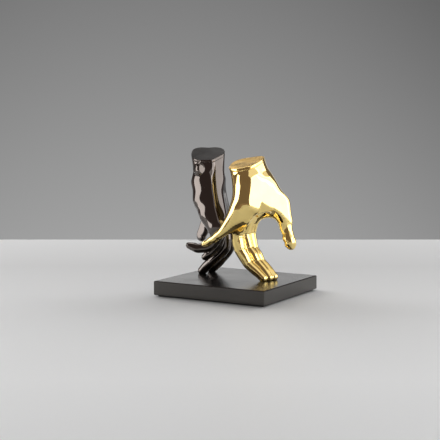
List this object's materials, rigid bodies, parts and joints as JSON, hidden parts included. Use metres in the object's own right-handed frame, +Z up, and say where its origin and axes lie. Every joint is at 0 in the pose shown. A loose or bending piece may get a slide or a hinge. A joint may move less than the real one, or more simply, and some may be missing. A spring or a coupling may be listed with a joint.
{
  "type": "hands figurine",
  "caption": "Decorative figurine of a dark and a gold polished metal hand that stand back to back on their fingertips on a flat square plate.",
  "frame": {"origin": "middle of the underside, at the centre of the plate, on the surface that the figurine stands on", "axes": "+Z up, +X to the right across the plate from the dark hand to the gold one, +Y from the front to the back"},
  "size_m": [0.16, 0.15, 0.1892],
  "materials": {
    "plate": "satin anthracite",
    "sheet": "matt",
    "dark_polish": "mirror polish, black",
    "dark_satin": "satin, black",
    "gold_polish": "mirror polish, gold",
    "gold_satin": "satin, gold",
    "steel": "plain"
  },
  "bodies": {
    "root": {"base_plate": "plate", "antislip_sheet": "sheet", "dark_hand": "dark_polish", "dark_wrist_cap": "dark_satin", "gold_hand": "gold_polish", "gold_wrist_cap": "gold_satin", "dark_index_screw": "steel", "dark_index_washer": "steel", "dark_middle_screw": "steel", "dark_middle_washer": "steel", "gold_index_screw": "steel", "gold_index_washer": "steel", "gold_ring_screw": "steel", "gold_ring_washer": "steel"}
  },
  "joints": []
}
